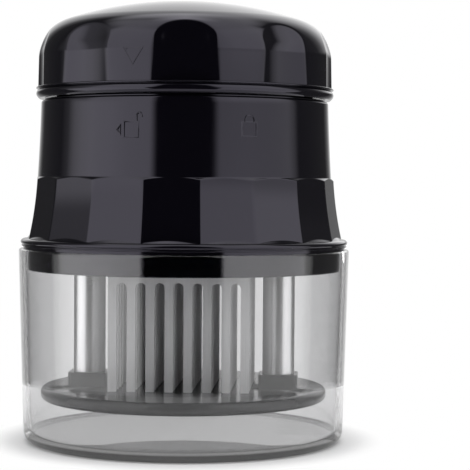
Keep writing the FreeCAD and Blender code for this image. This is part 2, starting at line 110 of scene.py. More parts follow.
# Radiance by azimuth in five belts of the room, from below the horizon to right overhead.
room_under = [(-180, 0.6), (-166, 0.7), (-156, 0.3), (-148, 0.08), (-103, 0.08), (-99, 1.3),
              (-92, 1.75), (-78, 1.95), (-60, 2.0), (-45, 1.8), (-31, 1.7), (-29, 0), (26, 0),
              (28, 1.5), (50, 1.65), (88, 1.5), (95, 1.4), (100, 0.1), (145, 0.06), (156, 0.3),
              (166, 0.8), (180, 0.6)]
room_low = [(-180, 0.6), (-166, 0.7), (-156, 0.3), (-148, 0.08), (-112, 0.08), (-104, 0.3),
            (-96, 1.1), (-88, 1.6), (-78, 1.95), (-60, 2.0), (-45, 1.8), (-27, 1.7), (-22, 0),
            (22, 0), (27, 1.15), (50, 1.25), (88, 1.1), (95, 0.6), (100, 0.1), (145, 0.06),
            (156, 0.3), (166, 0.8), (180, 0.6)]
room_middle = [(-180, 1.2), (-158, 0.9), (-150, 0.3), (-142, 0.08), (-118, 0.08), (-108, 0.25),
               (-95, 0.5), (-86, 0.65), (-80, 1.3), (-75, 1.65), (-50, 1.78), (-27, 1.7),
               (-21, 0), (20, 0), (26, 1.45), (40, 1.75), (60, 1.73), (80, 1.7), (90, 1.3),
               (98, 0.12), (125, 0.12), (135, 0.4), (145, 1.0), (155, 1.5), (165, 1.5), (180, 1.2)]
room_top = [(-180, 2.6), (-165, 2.3), (-150, 1.9), (-140, 1.5), (-125, 0.9), (-112, 1.2),
            (-95, 1.35), (-60, 1.5), (-35, 1.35), (-22, 0.25), (-10, 0.07), (5, 0.1), (15, 0.5),
            (25, 1.3), (50, 1.55), (90, 1.4), (130, 1.3), (150, 1.6), (165, 2.1), (180, 2.6)]
room_crown = [(-180, 3.0), (-120, 2.3), (-60, 1.5), (0, 1.3), (60, 1.5), (120, 2.3), (180, 3.0)]

room = bpy.data.worlds.new("studio_room")
scene.world = room
room.use_nodes = True
tree = room.node_tree
tree.nodes.clear()
coordinates = tree.nodes.new("ShaderNodeTexCoord")
turn = tree.nodes.new("ShaderNodeVectorRotate")
turn.rotation_type = "Z_AXIS"
turn.inputs["Angle"].default_value = math.radians(-FRONT_AZIMUTH)
wire(tree, coordinates.outputs["Generated"], turn.inputs["Vector"])
split = tree.nodes.new("ShaderNodeSeparateXYZ")
wire(tree, turn.outputs["Vector"], split.inputs[0])
across, forward, upward = split.outputs
azimuth = maths(tree, "ARCTAN2", across, maths(tree, "MULTIPLY", forward, -1.0))
place = maths(tree, "MULTIPLY_ADD", azimuth, 0.5 / math.pi, 0.5)
shade = steps(tree, place, ramp_stops(room_under), "LINEAR")
# Each belt takes over from the one below it between two values of the direction's upward part.
for stops, start, end in ((room_low, -0.02, 0.05), (room_middle, 0.10, 0.17),
                          (room_top, 0.78, 0.90), (room_crown, 0.96, 0.998)):
    lift = tree.nodes.new("ShaderNodeMapRange")
    lift.interpolation_type = "SMOOTHSTEP"
    lift.inputs["From Min"].default_value = start
    lift.inputs["From Max"].default_value = end
    wire(tree, upward, lift.inputs["Value"])
    blend = tree.nodes.new("ShaderNodeMix")
    blend.data_type = "RGBA"
    wire(tree, lift.outputs["Result"], blend.inputs["Factor"])
    wire(tree, shade, blend.inputs["A"])
    wire(tree, steps(tree, place, ramp_stops(stops), "LINEAR"), blend.inputs["B"])
    shade = blend.outputs["Result"]
studio = tree.nodes.new("ShaderNodeBackground")
studio.inputs["Strength"].default_value = ROOM_PEAK
wire(tree, shade, studio.inputs["Color"])
white = tree.nodes.new("ShaderNodeBackground")
white.inputs["Color"].default_value = (1, 1, 1, 1)
choose = tree.nodes.new("ShaderNodeMixShader")
wire(tree, straight_ray(tree), choose.inputs["Fac"])
wire(tree, studio.outputs[0], choose.inputs[1])
wire(tree, white.outputs[0], choose.inputs[2])
room_out = tree.nodes.new("ShaderNodeOutputWorld")
wire(tree, choose.outputs[0], room_out.inputs["Surface"])

angles = np.linspace(0, 2 * math.pi, TABLE_CORNERS, endpoint=False)
rim = np.stack([TABLE_RADIUS * np.cos(angles), TABLE_RADIUS * np.sin(angles), 0 * angles], -1)
top_mesh = bpy.data.meshes.new("table_top")
top_mesh.from_pydata(rim.tolist(), [], [list(range(len(angles)))])
table_top = bpy.data.objects.new("table_top", top_mesh)
scene.collection.objects.link(table_top)
paint = bpy.data.materials.new("white_table")
paint.use_nodes = True
tree = paint.node_tree
body = tree.nodes["Principled BSDF"]
body.inputs["Base Color"].default_value = (0.93, 0.93, 0.935, 1)
body.inputs["Roughness"].default_value = 0.75
body.inputs["Specular IOR Level"].default_value = 0.15
glow = tree.nodes.new("ShaderNodeEmission")
glow.inputs["Color"].default_value = (1, 1, 1, 1)
where = tree.nodes.new("ShaderNodeTexCoord")
reach = tree.nodes.new("ShaderNodeVectorMath")
reach.operation = "LENGTH"
wire(tree, where.outputs["Object"], reach.inputs[0])
# Share of plain white by distance from the axis: painted light under the clear cup's floor, standing
# in for the light that falls through it; a dip round its foot, where the real shadow is deepened by
# painted shade; then white.
white_fade_and_painted_light = steps(tree, maths(tree, "DIVIDE", reach.outputs["Value"], FADE_RADIUS),
             [(distance, (whiteness,) * 3) for distance, whiteness in WHITE_FADE_AND_PAINTED_LIGHT_STOPS])
share = maths(tree, "MULTIPLY", straight_ray(tree), white_fade_and_painted_light)
mix = tree.nodes.new("ShaderNodeMixShader")
wire(tree, share, mix.inputs["Fac"])
wire(tree, body.outputs[0], mix.inputs[1])
wire(tree, glow.outputs[0], mix.inputs[2])
wire(tree, mix.outputs[0], tree.nodes["Material Output"].inputs["Surface"])
top_mesh.materials.append(paint)

# --- Camera
# It stands in front, 5 degrees to the right, as high as the barrel's foot, and looks a little
# down and to the right of the axis.
CAMERA_DISTANCE = 0.504
CAMERA_HEIGHT = 0.078
CAMERA_YAW = 1.75
CAMERA_DIP = 1.8
CAMERA_ROLL = 0.4
LENS_LENGTH = 126.8
lens = bpy.data.cameras.new("camera")
lens.lens = LENS_LENGTH
lens.clip_start = 0.02
lens.clip_end = 20
camera = bpy.data.objects.new("camera", lens)
scene.collection.objects.link(camera)
swing = math.radians(FRONT_AZIMUTH)
camera.location = (CAMERA_DISTANCE * math.sin(swing), -CAMERA_DISTANCE * math.cos(swing),
                   CAMERA_HEIGHT)
camera.rotation_mode = "QUATERNION"
yaw = Matrix.Rotation(swing - math.radians(CAMERA_YAW), 3, "Z")
pitch = Matrix.Rotation(math.radians(90 - CAMERA_DIP), 3, "X")
roll = Matrix.Rotation(math.radians(CAMERA_ROLL), 3, "Z")
camera.rotation_quaternion = (yaw @ pitch @ roll).to_quaternion()
scene.camera = camera
scene.view_settings.view_transform = "Standard"

# --- Clear cup
# The see-through cup that the tool stands in: one smoke-tinted polished moulding with a closed
# floor, a drafted wall and an eased rim. Nothing fixes it; the housing's flange rests on the rim.
MM = 0.001  # a piece's own sizes are in millimetres
CUP_FOOT_RADIUS = 48.4
CUP_FOOT_ROUND = 3.0
CUP_RIM_RADIUS = 50.0
CUP_RIM_ROUND = 0.7
CUP_HEIGHT = 58.0
CUP_WALL = 2.2
CUP_LIP_ROUND = 0.3
CUP_FLOOR = 2.6
CUP_FLOOR_RADIUS = 46.16
CUP_FLOOR_ROUND = 1.5
SMOKE_STOPS = ((0.3, (0.77, 0.77, 0.775)), (0.7, (0.785, 0.785, 0.79)))
# Painted shade on the foot's outer edge: its colour, and the heights and radii where it fades in.
FOOT_PAINTED_SHADE_COLOUR = (0.07, 0.07, 0.07, 1)
FOOT_PAINTED_SHADE_HEIGHTS = (2.2 * MM, 2.8 * MM)
FOOT_PAINTED_SHADE_RADII = (45.5 * MM, 46.5 * MM)
MERGE_DISTANCE = 2e-7


def rounded(corners, count=4):
    """Outline through (radius, height, corner round) points.

    Each corner with a round is replaced by an arc tangent to both its sides: the arc's centre
    lies on the corner's bisector at round / sin(half the corner angle).
    """
    corners = np.array(corners, float)
    out = [corners[:1, :2]]
    for before, here, after in zip(corners, corners[1:], corners[2:]):
        if here[2] <= 0:
            out.append(here[None, :2])
            continue
        back = (before - here)[:2] / np.linalg.norm((before - here)[:2])
        on = (after - here)[:2] / np.linalg.norm((after - here)[:2])
        half = math.acos(np.clip(back @ on, -1, 1)) / 2
        centre = here[:2] + (back + on) / np.linalg.norm(back + on) * here[2] / math.sin(half)
        start = here[:2] + back * here[2] / math.tan(half) - centre
        end = here[:2] + on * here[2] / math.tan(half) - centre
        share = np.linspace(0, 1, count)[:, None]
        sweep = math.pi - 2 * half
        arc = (np.sin((1 - share) * sweep) * start + np.sin(share * sweep) * end) / math.sin(sweep)
        out.append(centre + arc)
    out.append(corners[-1:, :2])
    return np.vstack(out)


def refined(outline, longest, long_run=1.5, end_gap=0.2):
    """Outline with extra points, so that no straight run is longer than the given length.

    A long run also gets a point close to each end, which keeps the shading of its corners there.
    """
    pieces = [outline[:1]]
    for start, end in zip(outline, outline[1:]):
        length = np.linalg.norm(end - start)
        share = np.linspace(0, 1, int(math.ceil(length / longest)) + 1)
        if length > long_run:
            share = np.sort(np.concatenate([share, [end_gap / length, 1 - end_gap / length]]))
        pieces.append(start + (end - start) * share[1:, None])
    return np.vstack(pieces)


def skin(name, grids, crease=35.0):
    """Mesh object of one or more point grids in millimetres.

    A grid is (points, closed rows, closed columns): rows go round, columns go along the section,
    and each cell is one quad that faces rows x columns. Poles and doubled points are merged.
    """
    points, quads, count = [], [], 0
    for grid, close_rows, close_columns in grids:
        rows, columns = grid.shape[:2]
        index = count + np.arange(rows * columns).reshape(rows, columns)
        if close_rows:
            index = np.vstack([index, index[:1]])
        if close_columns:
            index = np.hstack([index, index[:, :1]])
        cells = [index[:-1, :-1], index[1:, :-1], index[1:, 1:], index[:-1, 1:]]
        quads.append(np.stack(cells, -1).reshape(-1, 4))
        points.append(grid.reshape(-1, 3))
        count += rows * columns
    points = np.vstack(points) * MM
    quads = np.vstack(quads)
    mesh = bpy.data.meshes.new(name)
    mesh.vertices.add(len(points))
    mesh.vertices.foreach_set("co", points.ravel())
    mesh.loops.add(quads.size)
    mesh.loops.foreach_set("vertex_index", quads.ravel().astype(np.int32))
    mesh.polygons.add(len(quads))
    mesh.polygons.foreach_set("loop_start", np.arange(0, quads.size, 4, dtype=np.int32))
    mesh.update(calc_edges=True)
    merged = bmesh.new()
    merged.from_mesh(mesh)
    bmesh.ops.remove_doubles(merged, verts=merged.verts, dist=MERGE_DISTANCE)
    merged.to_mesh(mesh)
    merged.free()
    return finished(name, mesh, crease)


def finished(name, mesh, crease):
    """Object of a mesh, smooth but for edges sharper than the crease angle."""
    mesh.polygons.foreach_set("use_smooth", np.ones(len(mesh.polygons), bool))
    mesh.set_sharp_from_angle(angle=math.radians(crease))
    piece = bpy.data.objects.new(name, mesh)
    scene.collection.objects.link(piece)
    return piece


def turned(outline, count):
    """Surface of revolution: each (radius, height) point goes round the main axis."""
    angle = np.linspace(0, 2 * math.pi, count, endpoint=False)[:, None]
    radius, height = outline[None, :, 0], outline[None, :, 1]
    return np.stack([radius * np.cos(angle), radius * np.sin(angle), height + 0 * angle], -1)


def material(name, **values):
    """Material whose Principled sockets get these plain values; returns it, its tree and BSDF."""
    made = bpy.data.materials.new(name)
    made.use_nodes = True
    shader = made.node_tree.nodes["Principled BSDF"]
    for key, value in values.items():
        socket = shader.inputs[key.replace("_", " ")]
        socket.default_value = (*value, 1.0) if isinstance(value, tuple) else value
    return made, made.node_tree, shader


def new_group(name, inputs, outputs):
    """Shader node group with float, colour or vector sockets; returns its tree and end nodes."""
    kinds = {"float": "NodeSocketFloat", "colour": "NodeSocketColor", "vector": "NodeSocketVector"}
    group = bpy.data.node_groups.new(name, "ShaderNodeTree")
    for label, kind, value in inputs:
        socket = group.interface.new_socket(label, in_out="INPUT", socket_type=kinds[kind])
        socket.default_value = value
    for label, kind in outputs:
        group.interface.new_socket(label, in_out="OUTPUT", socket_type=kinds[kind])
    return group, group.nodes.new("NodeGroupInput"), group.nodes.new("NodeGroupOutput")


def noise(tree, vector, scale, detail):
    """Noise texture read at a vector, scale in waves per metre; a socket may drive the scale."""
    node = tree.nodes.new("ShaderNodeTexNoise")
    node.inputs["Detail"].default_value = detail
    if isinstance(scale, bpy.types.NodeSocket):
        wire(tree, scale, node.inputs["Scale"])
    else:
        node.inputs["Scale"].default_value = scale
    wire(tree, vector, node.inputs["Vector"])
    return node.outputs["Fac"]


def spread(tree, value, low, high, from_low=0.0, from_high=1.0):
    """Map Range from one span to another; low and high may be sockets."""
    node = tree.nodes.new("ShaderNodeMapRange")
    wire(tree, value, node.inputs["Value"])
    for label, bound in (("From Min", from_low), ("From Max", from_high),
                         ("To Min", low), ("To Max", high)):
        if isinstance(bound, bpy.types.NodeSocket):
            wire(tree, bound, node.inputs[label])
        else:
            node.inputs[label].default_value = bound
    return node.outputs["Result"]


# Moulded surface, used by every plastic and by the seal: slow ripples from the melt's flow, a fine
# texture from the mould's polish or spark erosion, and roughness that wanders between two values.
moulding, given, result = new_group(
    "moulded_surface",
    [("Ripple Scale", "float", 60.0), ("Texture Scale", "float", 3000.0),
     ("Texture Share", "float", 0.1), ("Smooth", "float", 0.05), ("Rough", "float", 0.08)],
    [("Height", "float"), ("Roughness", "float")])
where = moulding.nodes.new("ShaderNodeTexCoord").outputs["Object"]
ripple = noise(moulding, where, given.outputs["Ripple Scale"], detail=1.0)
texture = noise(moulding, where, given.outputs["Texture Scale"], detail=3.0)
height = maths(moulding, "MULTIPLY_ADD", texture, given.outputs["Texture Share"], ripple)
wire(moulding, height, result.inputs["Height"])
wander = noise(moulding, where, scale=140.0, detail=3.0)
wire(moulding, spread(moulding, wander, given.outputs["Smooth"], given.outputs["Rough"],
                      from_low=0.3, from_high=0.7), result.inputs["Roughness"])


def place_group(tree, group, **values):
    """Puts a node group into a tree with its own plain values."""
    node = tree.nodes.new("ShaderNodeGroup")
    node.node_tree = group
    for key, value in values.items():
        node.inputs[key.replace("_", " ")].default_value = value
    return node


def relief(tree, height, shader, distance):
    """Bump from a height output into the shader's normal; distance in metres."""
    bump = tree.nodes.new("ShaderNodeBump")
    bump.inputs["Distance"].default_value = distance
    bump.inputs["Strength"].default_value = 1.0
    wire(tree, height, bump.inputs["Height"])
    wire(tree, bump.outputs["Normal"], shader.inputs["Normal"])


cup_outline = refined(rounded([
    (0, 0, 0), (CUP_FOOT_RADIUS, 0, CUP_FOOT_ROUND), (CUP_RIM_RADIUS, CUP_HEIGHT, CUP_RIM_ROUND),
    (CUP_RIM_RADIUS - CUP_WALL, CUP_HEIGHT, CUP_LIP_ROUND),
    (CUP_FLOOR_RADIUS, CUP_FLOOR, CUP_FLOOR_ROUND), (0, CUP_FLOOR, 0)], count=8), longest=6.0)
cup = skin("clear_cup", [(turned(cup_outline, count=288), True, False)])

clear, tree, shader = material(
    "smoke_clear_plastic", Transmission_Weight=1.0, IOR=1.03, Coat_Weight=1.0, Coat_IOR=1.5,
    Coat_Roughness=0.0)
surface = place_group(tree, moulding, Ripple_Scale=30.0, Texture_Scale=900.0, Texture_Share=0.02,
                      Smooth=0.0, Rough=0.004)
wire(tree, surface.outputs["Roughness"], shader.inputs["Roughness"])
where = tree.nodes.new("ShaderNodeTexCoord").outputs["Object"]
smoke = steps(tree, noise(tree, where, scale=25.0, detail=1.0), SMOKE_STOPS)
# The foot's outer edge gets painted shade, standing in for the dark that bent light shows there: a
# low IOR leaves what stands in the cup in its place, but wouldn't show the foot that dark.
split = tree.nodes.new("ShaderNodeSeparateXYZ")
wire(tree, where, split.inputs[0])
x_squared = maths(tree, "MULTIPLY", split.outputs[0], split.outputs[0])
y_squared = maths(tree, "MULTIPLY", split.outputs[1], split.outputs[1])
outward = maths(tree, "SQRT", maths(tree, "ADD", x_squared, y_squared))
foot_painted_shade = maths(tree, "MULTIPLY", spread(tree, split.outputs[2], 1.0, 0.0, *FOOT_PAINTED_SHADE_HEIGHTS),
             spread(tree, outward, 0.0, 1.0, *FOOT_PAINTED_SHADE_RADII))
paint_foot_shade = tree.nodes.new("ShaderNodeMix")
paint_foot_shade.data_type = "RGBA"
wire(tree, foot_painted_shade, paint_foot_shade.inputs["Factor"])
wire(tree, smoke, paint_foot_shade.inputs["A"])
paint_foot_shade.inputs["B"].default_value = FOOT_PAINTED_SHADE_COLOUR
wire(tree, paint_foot_shade.outputs["Result"], shader.inputs["Base Color"])
cup.data.materials.append(clear)
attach(cup, "cup")
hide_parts("clear_cover")

# --- Housing
# One black moulding, polished: a skirt inside the cup, a flange on the cup's rim, an eighteen-sided
# flared body, a round barrel and the neck, whose three catches and end stops hold the cap's lugs.
SKIRT_INNER = 44.823
SKIRT_OUTER = 47.223
SKIRT_FOOT = 51.6
SKIRT_SEAM = 55.0
FLANGE_FOOT = 58.0
LEDGE_RADIUS = 48.7
LEDGE_TOP = 58.8
GROOVE_RADIUS = 48.9
GROOVE_FOOT = 59.2
FLANGE_RADIUS = 49.2
BEAD_FOOT = 59.5
BEAD_HEIGHT = 1.4
BEAD_PROUD = 0.35
BEAD_LEAN = 0.3
FLANGE_TOP = 61.1
SLOPE_FOOT_RADIUS = 47.6
SLOPE_TOP = 62.1
FACETS = 18
FACET_ROUND = 3.0
FACET_FOOT = 61.0
FACET_FOOT_RADIUS = 47.0
FACET_HEIGHT = 20.0
FACET_TAPER = 2.6
FACET_BOW = 0.45
FACET_TOP = 79.8
CONE_FOOT_RADIUS = 45.285
BARREL_FOOT = 78.6
BARREL_FOOT_RADIUS = 44.45
BARREL_TAPER = 1.07
BARREL_BOW = 0.1
BARREL_SIDE_TOP = 101.6
BARREL_EDGE_ROUND = 0.8
BARREL_EDGE_CENTRE = 42.58
BARREL_TOP = 102.4
INNER_WALL = ((40.78, 98.4, 0.8), (41.8, 79.8, 0), (42.4, 65, 0.2), (43.6, 65, 0.2), (43.6, 61, 0))
SEAT_RADIUS = 35.60
SEAT_FOOT = 100.4
SEAT_TOP = 103.0
STEP_RADIUS = 42.43
STEP_TOP = 102.8
NECK_INNER = 36.63
NECK_OUTER = 38.63
NECK_ROUND = 0.25
NECK_SEAM = 107.0
NECK_TOP = 110.0
LUG_ANGLES = (30.0, 150.0, 270.0)
CATCH_INNER = 37.63
CATCH_OUTER = 40.43
CATCH_FOOT = 107.9
CATCH_SPAN = (14, 60)
STOP_FOOT = 105.0
STOP_SPANS = ((55.5, 60), (-15, -10.5))


def bow(share, depth):
    """Shallow bow: zero at both ends and the depth in the middle."""
    return 4 * depth * share * (1 - share)


def barrel_radius(z):
    """Barrel: straight taper from foot to top with a shallow bow towards the axis."""
    share = (z - BARREL_FOOT) / (BARREL_SIDE_TOP - BARREL_FOOT)
    return BARREL_FOOT_RADIUS - BARREL_TAPER * share - bow(share, BARREL_BOW)


def facet_radius(angle, z):
    """Rounded polygon whose distance to each flat falls with height.

    Flat: apothem / cos(angle from the flat's middle). Corner: an arc of FACET_ROUND about the
    point where the flats, moved in by that round, would meet.
    """
    share = (z - FACET_FOOT) / FACET_HEIGHT
    apothem = FACET_FOOT_RADIUS - FACET_TAPER * share - bow(share, FACET_BOW)
    half = math.pi / FACETS
    from_flat = angle % (2 * half) - half
    from_corner = half - np.abs(from_flat)
    centre = (apothem - FACET_ROUND) / math.cos(half)
    corner = centre * np.cos(from_corner) + np.sqrt(
        np.maximum(FACET_ROUND ** 2 - (centre * np.sin(from_corner)) ** 2, 0))
    limit = np.arctan(FACET_ROUND * math.sin(half) / (centre + FACET_ROUND * math.cos(half)))
    return np.where(from_corner < limit, corner, apothem / np.cos(from_flat))


def lower_body_radius(angle, z):
    """Facets, cut by a 45 degree cone at the top, united with the flange's slope and the barrel."""
    cone = np.where(z < BARREL_FOOT, np.inf, CONE_FOOT_RADIUS - (z - BARREL_FOOT))
    slope = np.where(z < SLOPE_TOP, SLOPE_FOOT_RADIUS - (z - FLANGE_TOP), 0.0)
    upper = np.where(z >= BARREL_FOOT, barrel_radius(z), 0.0)
    return np.maximum(np.maximum(np.minimum(facet_radius(angle, z), cone), slope), upper)


def sector(inner, outer, low, high, start, end, around=16, corner=0.2):
    """Block between two radii, heights and angles: a closed section with two rounded corners swept
    round the axis, its two ends closed by shrinking the section to its middle."""
    section = rounded([(inner, low, 0), (outer, low, corner), (outer, high, corner),
                       (inner, high, 0), (inner, low, 0)], count=3)[:-1]
    angle = np.radians(np.linspace(start, end, around))
    angle = np.concatenate([angle[:1], angle, angle[-1:]])[:, None]
    shrink = np.ones_like(angle)
    shrink[[0, -1]] = 0
    middle = section.mean(0)
    radius = middle[0] + shrink * (section[None, :, 0] - middle[0])
    height = middle[1] + shrink * (section[None, :, 1] - middle[1])
    return np.stack([radius * np.cos(angle), radius * np.sin(angle), height], -1), False, True


# Angles within one facet, in degrees: close together at its two corners.
pattern = np.concatenate([[0.0, 0.25, 0.5, 0.75, 1.1, 1.8], np.arange(3.0, 10.1, 1.4)])
pattern = np.unique(np.concatenate([pattern, 360 / FACETS - pattern[pattern > 0]]))[:-1]
facet_grid = np.radians((360 / FACETS * np.arange(FACETS)[:, None] + pattern).ravel())[:, None]

# Skirt, ledge on the cup's rim, groove and bead: half a sine wave that leans inwards.
bead = np.linspace(0, 1, 9)
bead_outline = np.stack([
    FLANGE_RADIUS + BEAD_PROUD * np.sin(math.pi * bead) - BEAD_LEAN * bead ** 2,
    BEAD_FOOT + BEAD_HEIGHT * bead], -1)
flange_outline = np.vstack([
    refined(rounded([(SKIRT_INNER, SKIRT_SEAM, 0), (SKIRT_INNER, SKIRT_FOOT, 0.3),
                     (SKIRT_OUTER, SKIRT_FOOT, 0.35), (SKIRT_OUTER, FLANGE_FOOT, 0),
                     (LEDGE_RADIUS, FLANGE_FOOT, 0), (LEDGE_RADIUS, LEDGE_TOP, 0),
                     (FLANGE_RADIUS, LEDGE_TOP, 0.15), (FLANGE_RADIUS, GROOVE_FOOT, 0.12),
                     (GROOVE_RADIUS, GROOVE_FOOT, 0.05), (GROOVE_RADIUS, BEAD_FOOT, 0.05),
                     (FLANGE_RADIUS, BEAD_FOOT, 0)]), longest=3.0),
    bead_outline])
# Heights of the faceted body's rows: close together at its foot and at its top.
body_heights = np.concatenate([np.arange(FLANGE_TOP, 62.6, 0.12), np.arange(62.8, 77.4, 0.9),
                               np.arange(77.6, FACET_TOP, 0.11), [FACET_TOP]])
barrel_heights = np.linspace(80.2, BARREL_SIDE_TOP, 16)
# Inside, from the neck's bore and the seat of the spring plate down to the skirt.
inner_outline = refined(rounded([
    (NECK_INNER, NECK_SEAM, 0), (NECK_INNER, SEAT_TOP, 0), (SEAT_RADIUS, SEAT_TOP, 0),
    (SEAT_RADIUS, SEAT_FOOT, 0.3), *INNER_WALL, (SKIRT_INNER, FLANGE_FOOT, 0)]), longest=6.0)
# From the barrel's top edge over a low step to the neck and into its bore.
neck_outline = rounded([
    (BARREL_EDGE_CENTRE, BARREL_TOP, 0), (STEP_RADIUS, BARREL_TOP, 0), (STEP_RADIUS, STEP_TOP, 0.1),
    (NECK_OUTER, STEP_TOP, 0.2), (NECK_OUTER, NECK_TOP, NECK_ROUND),
    (NECK_INNER, NECK_TOP, NECK_ROUND), (NECK_INNER, NECK_SEAM, 0)])
edge_turn = np.radians(np.linspace(0, 90, 8))
edge_outline = np.stack([BARREL_EDGE_CENTRE + BARREL_EDGE_ROUND * np.cos(edge_turn),
                         BARREL_SIDE_TOP + BARREL_EDGE_ROUND * np.sin(edge_turn)], -1)
upper_outline = np.vstack([np.stack([barrel_radius(barrel_heights), barrel_heights], -1),
                           edge_outline[1:], neck_outline[1:], inner_outline[1:]])

turn = np.ones_like(facet_grid)
radius = np.hstack([flange_outline[None, :, 0] * turn,
                    lower_body_radius(facet_grid, body_heights[None, :]),
                    upper_outline[None, :, 0] * turn])
height = np.hstack([flange_outline[:, 1], body_heights, upper_outline[:, 1]])[None, :] * turn
shell = np.stack([radius * np.cos(facet_grid), radius * np.sin(facet_grid), height], -1)
grids = [(shell, True, True)]
for zero in LUG_ANGLES:
    grids.append(sector(CATCH_INNER, CATCH_OUTER, CATCH_FOOT, NECK_TOP,
                        zero + CATCH_SPAN[0], zero + CATCH_SPAN[1]))
    for start, end in STOP_SPANS:
        grids.append(sector(CATCH_INNER, CATCH_OUTER, STOP_FOOT, NECK_TOP,
                            zero + start, zero + end, around=4))
housing = skin("housing_moulding", grids, crease=32.0)


def moulded(name, ripple, texture, share, smooth, rough, depth, **values):
    """Opaque plastic or rubber with the moulded surface: ripple and texture in waves per metre,
    the texture's share of the height, roughness from smooth to rough, relief depth in metres."""
    made, tree, shader = material(name, **values)
    surface = place_group(tree, moulding, Ripple_Scale=ripple, Texture_Scale=texture,
                          Texture_Share=share, Smooth=smooth, Rough=rough)
    wire(tree, surface.outputs["Roughness"], shader.inputs["Roughness"])
    relief(tree, surface.outputs["Height"], shader, depth)
    return made


gloss = moulded("black_gloss_plastic", ripple=45.0, texture=2500.0, share=0.01, smooth=0.05,
                rough=0.085, depth=0.00003, Base_Color=(0.0024, 0.0021, 0.0036), IOR=1.5,
                Specular_Tint=(0.86, 0.82, 1.0))
housing.data.materials.append(gloss)
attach(housing, "housing")
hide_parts("housing_shell")

# --- Cap
# Domed lid of the same polished black plastic, moulded in one with nine grip flutes, a rim bead, a
# rib for the seal and three lugs. It twists onto the neck and lifts off at the open padlock.
CAP_FOOT = 103.0
CAP_INNER = 40.83
CAP_SEAM = 106.0
RIM_FOOT_RADIUS = 44.05
RIM_RADIUS = 44.13
RIM_PROUD = 0.75
RIM_HEIGHT = 2.7
RIM_GROOVE_RADIUS = 44.23
RIM_GROOVE = 105.8
RIM_LIP_RADIUS = 44.93
RIM_LIP_FOOT = 105.95
RIM_LIP_TOP = 106.25
CAP_RIM_TOP = 106.4
CAP_SIDE_FOOT = 44.68
CAP_SIDE_TOP = 44.43
SHOULDER = 115.1
SHOULDER_ROUND = 12.0
CROWN = 132.45
INNER_CENTRE = 30.43
INNER_ROUND = 10.4
INNER_CROWN = 130.25
RIB_INNER = 36.73
RIB_OUTER = 38.53
RIB_FOOT = 111.6
RIB_TOP = 124.0
RIB_ROUND = 0.3
LUG_INNER = 39.03
LUG_OUTER = 41.33
LUG_FOOT = 105.0
LUG_TOP = 107.6
LUG_HALF_ANGLE = 10
FLUTES = 9
FLUTE_FIRST = -85.0
FLUTE_DEPTH = 1.5
FLUTE_ROUND = 38.0
FLUTE_CLIMB = math.radians(17.0)
SOFT_EDGE = 0.12


def flute_depth(angle, radius, height, out, up):
    """How far each point of the dome gives way, against its normal (out, up), to a grip flute.

    A flute is what a round bar cuts whose middle line runs upright, then turns over the shoulder
    and ends. The point goes in until it is a bar's radius from that line, by six rounds of
    Newton's rule, and the edge is softened by w log(1 + exp(depth / w)).
    """
    step = 2 * math.pi / FLUTES
    off = (angle - math.radians(FLUTE_FIRST) + step / 2) % step - step / 2
    swing = SHOULDER_ROUND - FLUTE_DEPTH + FLUTE_ROUND
    centre = CAP_SIDE_TOP - SHOULDER_ROUND
    depth = 0 * off * radius
    for _ in range(6):
        r, z = radius - depth * out, height - depth * up
        x, y = r * np.cos(off), r * np.sin(off)
        climb = np.clip(np.arctan2(np.maximum(z - SHOULDER, 0), x - centre), 0, FLUTE_CLIMB)
        near_x = centre + swing * np.cos(climb)
        near_z = np.where(z < SHOULDER, z, SHOULDER + swing * np.sin(climb))
        away = np.sqrt((x - near_x) ** 2 + y ** 2 + (z - near_z) ** 2)
        slope = -((x - near_x) * out * np.cos(off) + y * out * np.sin(off)
                  + (z - near_z) * up) / away
        depth = depth + (FLUTE_ROUND - away) / np.maximum(slope, 0.4)
    return SOFT_EDGE * np.logaddexp(0, np.clip(depth, -5, 5) / SOFT_EDGE)


def dome_outline(out, shoulder_round, crown_z, shoulder_steps, crown_steps):
    """Shoulder arc about (out, SHOULDER), then the crown's arc tangent to it, up to the axis."""
    rise = crown_z - shoulder_round - SHOULDER
    crown = shoulder_round + (out ** 2 + rise ** 2) / (2 * rise)
    lean = math.atan2(SHOULDER - crown_z + crown, out)
    turn = np.linspace(0, lean, shoulder_steps)
    over = np.linspace(lean, math.pi / 2, crown_steps)[1:]
    shoulder = np.stack([out + shoulder_round * np.cos(turn),
                         SHOULDER + shoulder_round * np.sin(turn)], -1)
    top = np.stack([crown * np.cos(over), crown_z - crown + crown * np.sin(over)], -1)
    top[-1, 0] = 0
    return np.vstack([shoulder, top])


# Rim from the cap's bore outwards: the bead is a sine wave, and a groove and a lip lie over it.
rim_bead = np.linspace(0, 1, 10)
rim_outline = np.vstack([
    rounded([(CAP_INNER, CAP_SEAM, 0), (CAP_INNER, CAP_FOOT, 0.3),
             (RIM_FOOT_RADIUS, CAP_FOOT, 0)]),
    np.stack([RIM_RADIUS + RIM_PROUD * np.sin(math.pi * rim_bead) ** 0.9 + 0.1 * rim_bead,
              CAP_FOOT + 0.05 + RIM_HEIGHT * rim_bead], -1),
    rounded([(RIM_GROOVE_RADIUS, RIM_GROOVE, 0), (RIM_LIP_RADIUS, RIM_LIP_FOOT, 0.1),
             (RIM_LIP_RADIUS, RIM_LIP_TOP, 0.1), (CAP_SIDE_FOOT, CAP_RIM_TOP, 0)])])
side_share = np.linspace(0, 1, 16)
side_outline = np.stack([CAP_SIDE_FOOT + (CAP_SIDE_TOP - CAP_SIDE_FOOT) * side_share,
                         CAP_RIM_TOP + (SHOULDER - CAP_RIM_TOP) * side_share], -1)
outer_dome = np.vstack([side_outline, dome_outline(
    CAP_SIDE_TOP - SHOULDER_ROUND, SHOULDER_ROUND, CROWN, shoulder_steps=54, crown_steps=24)[1:]])
inner_dome = dome_outline(INNER_CENTRE, INNER_ROUND, INNER_CROWN, shoulder_steps=12,
                          crown_steps=14)[::-1]
slope = np.gradient(outer_dome, axis=0)
slope /= np.linalg.norm(slope, axis=1)[:, None]
out, up = slope[None, :, 1], -slope[None, :, 0] * (outer_dome[None, :, 1] > SHOULDER)

